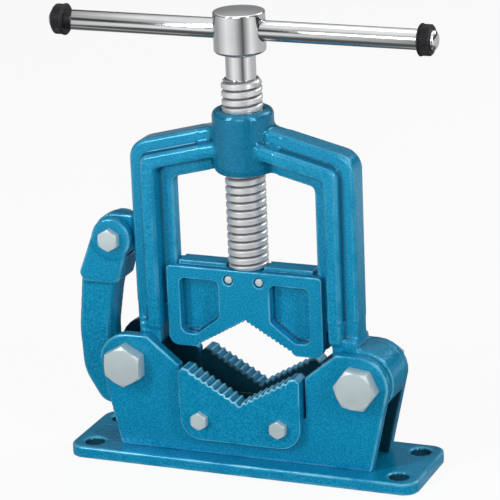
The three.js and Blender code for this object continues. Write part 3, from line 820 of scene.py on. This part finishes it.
class VISE_OT_stage(bpy.types.Operator):
    """Floor, soft lights and the photograph's camera"""

    bl_idname = "vise.stage"
    bl_label = "Stage"

    def execute(self, context):
        self.floor()
        self.world(context.scene)
        for name, place, wide, tall, power in SOFT_LIGHTS:
            self.soft_light(name, Vector(place), wide, tall, power)
        self.camera(context.scene)
        context.scene.view_settings.view_transform = "Standard"
        return {"FINISHED"}

    def floor(self):
        """Pale floor that keeps the vise's shadow and looks white round it, with a painted reflection that
        only polished pieces show.
        """
        bm = bmesh.new()
        bmesh.ops.create_grid(bm, x_segments=1, y_segments=1, size=FLOOR_HALF)
        bmesh.ops.translate(bm, verts=bm.verts, vec=(0, 0, -FLOOR_DROP))
        floor = object_from("floor", bm)
        made, nodes, links, shader = new_material("pale_floor")
        shader.inputs["Base Color"].default_value = rgba(FLOOR_COLOUR)
        shader.inputs["Roughness"].default_value = 0.8
        glow = nodes.new("ShaderNodeEmission")
        mix = nodes.new("ShaderNodeMixShader")
        rays = nodes.new("ShaderNodeLightPath").outputs
        # A painted reflection: the floor glows by these zones only for glossy rays
        level = self.painted_floor_reflection(nodes, links)
        reflected = maths(nodes, links, "MULTIPLY", rays["Is Glossy Ray"], level)
        seen = maths(nodes, links, "MAXIMUM", rays["Is Camera Ray"], rays["Is Transmission Ray"])
        links.new(maths(nodes, links, "MAXIMUM", seen, reflected), glow.inputs["Strength"])
        shown = range_of(nodes, links, seen, 0, 1, 0, FLOOR_GLOW)
        links.new(maths(nodes, links, "MAXIMUM", shown, rays["Is Glossy Ray"]), mix.inputs["Fac"])
        links.new(shader.outputs["BSDF"], mix.inputs[1])
        links.new(glow.outputs["Emission"], mix.inputs[2])
        links.new(mix.outputs["Shader"], nodes["Material Output"].inputs["Surface"])
        floor.data.materials.append(made)

    def painted_floor_reflection(self, nodes, links):
        """Painted reflection: how light the floor glows in reflections only, with zones beside the vise and
        painted cards round it.
        """
        round_vise = nodes.new("ShaderNodeTexGradient")
        round_vise.gradient_type = "RADIAL"
        links.new(nodes.new("ShaderNodeTexCoord").outputs["Object"], round_vise.inputs["Vector"])
        far = grey_ramp(nodes, links, round_vise.outputs["Fac"], FAR_FLOOR_REFLECTION)
        near = grey_ramp(nodes, links, distance_off(nodes, links, (0, 1, 0)), NEAR_FLOOR_REFLECTION)
        reach = distance_off(nodes, links, (1, 1, 0))
        return blended(nodes, links, range_of(nodes, links, reach, NEAR_REACH, FAR_REACH, 0, 1), near, far)

    def world(self, scene):
        """Dim grey light from all round, and a lighter and darker sky painted into reflections only."""
        scene.world = bpy.data.worlds.new("studio")
        scene.world.use_nodes = True
        nodes, links = scene.world.node_tree.nodes, scene.world.node_tree.links
        parts = nodes.new("ShaderNodeSeparateXYZ")
        links.new(nodes.new("ShaderNodeTexCoord").outputs["Generated"], parts.inputs["Vector"])
        reflected_sky = grey_ramp(nodes, links, parts.outputs["Z"], SKY_REFLECTION)
        glossy = nodes.new("ShaderNodeLightPath").outputs["Is Glossy Ray"]
        lit = blended(nodes, links, glossy, rgba(ROUND_LIGHT), reflected_sky)
        links.new(lit, nodes["Background"].inputs["Color"])

    def soft_light(self, name, place, wide, tall, power):
        """A rectangular area light that faces the vise."""
        lamp = bpy.data.lights.new(name, "AREA")
        lamp.shape = "RECTANGLE"
        lamp.size, lamp.size_y = wide, tall
        lamp.energy = power
        made = bpy.data.objects.new(name, lamp)
        made.location = place
        made.rotation_euler = (CAMERA_TARGET - place).to_track_quat("-Z", "Y").to_euler()
        bpy.context.scene.collection.objects.link(made)

    def camera(self, scene):
        """The photograph's camera, turned about its target and rolled."""
        azimuth, elevation, roll = (
            math.radians(a) for a in (CAMERA_AZIMUTH, CAMERA_ELEVATION, CAMERA_ROLL))
        back = Vector((math.sin(azimuth) * math.cos(elevation),
                       -math.cos(azimuth) * math.cos(elevation), math.sin(elevation)))
        level = Vector((math.cos(azimuth), math.sin(azimuth), 0))
        upright = back.cross(level)
        right = math.cos(roll) * level + math.sin(roll) * upright
        up = math.cos(roll) * upright - math.sin(roll) * level
        lens = bpy.data.cameras.new("photo_camera")
        lens.sensor_width = 36
        lens.lens = FOCAL_PIXELS * lens.sensor_width / PHOTO_PIXELS
        made = bpy.data.objects.new("photo_camera", lens)
        turned = Matrix((right, up, back)).transposed().to_4x4()
        made.matrix_world = Matrix.Translation(CAMERA_TARGET + back * CAMERA_DISTANCE) @ turned
        scene.collection.objects.link(made)
        scene.camera = made


class VISE_PT_panel(bpy.types.Panel):
    """Lists the pieces"""

    bl_label = "Pipe vise"
    bl_idname = "VISE_PT_panel"
    bl_space_type = "VIEW_3D"
    bl_region_type = "UI"
    bl_category = "Pipe vise"

    def draw(self, context):
        for operator in OPERATORS:
            self.layout.operator(operator.bl_idname)
        for group in (context.scene.vise_sizes, context.scene.vise_colours):
            for name in group.__annotations__:
                self.layout.prop(group, name)


OPERATORS = (
    VISE_OT_base, VISE_OT_lower_jaws, VISE_OT_yoke, VISE_OT_hook, VISE_OT_upper_jaw,
    VISE_OT_fasteners, VISE_OT_spindle, VISE_OT_handle, VISE_OT_stage)
CLASSES = (ViseSizes, ViseColours, *OPERATORS, VISE_PT_panel)


def register():
    for cls in CLASSES:
        bpy.utils.register_class(cls)
    bpy.types.Scene.vise_sizes = bpy.props.PointerProperty(type=ViseSizes)
    bpy.types.Scene.vise_colours = bpy.props.PointerProperty(type=ViseColours)


def unregister():
    del bpy.types.Scene.vise_colours
    del bpy.types.Scene.vise_sizes
    for cls in reversed(CLASSES):
        bpy.utils.unregister_class(cls)


def main():
    register()
    bpy.ops.vise.base()
    bpy.ops.vise.lower_jaws()
    bpy.ops.vise.yoke()
    bpy.ops.vise.hook()
    bpy.ops.vise.upper_jaw()
    bpy.ops.vise.fasteners()
    bpy.ops.vise.spindle()
    bpy.ops.vise.handle()
    bpy.ops.vise.stage()


if __name__ == "__main__":
    main()
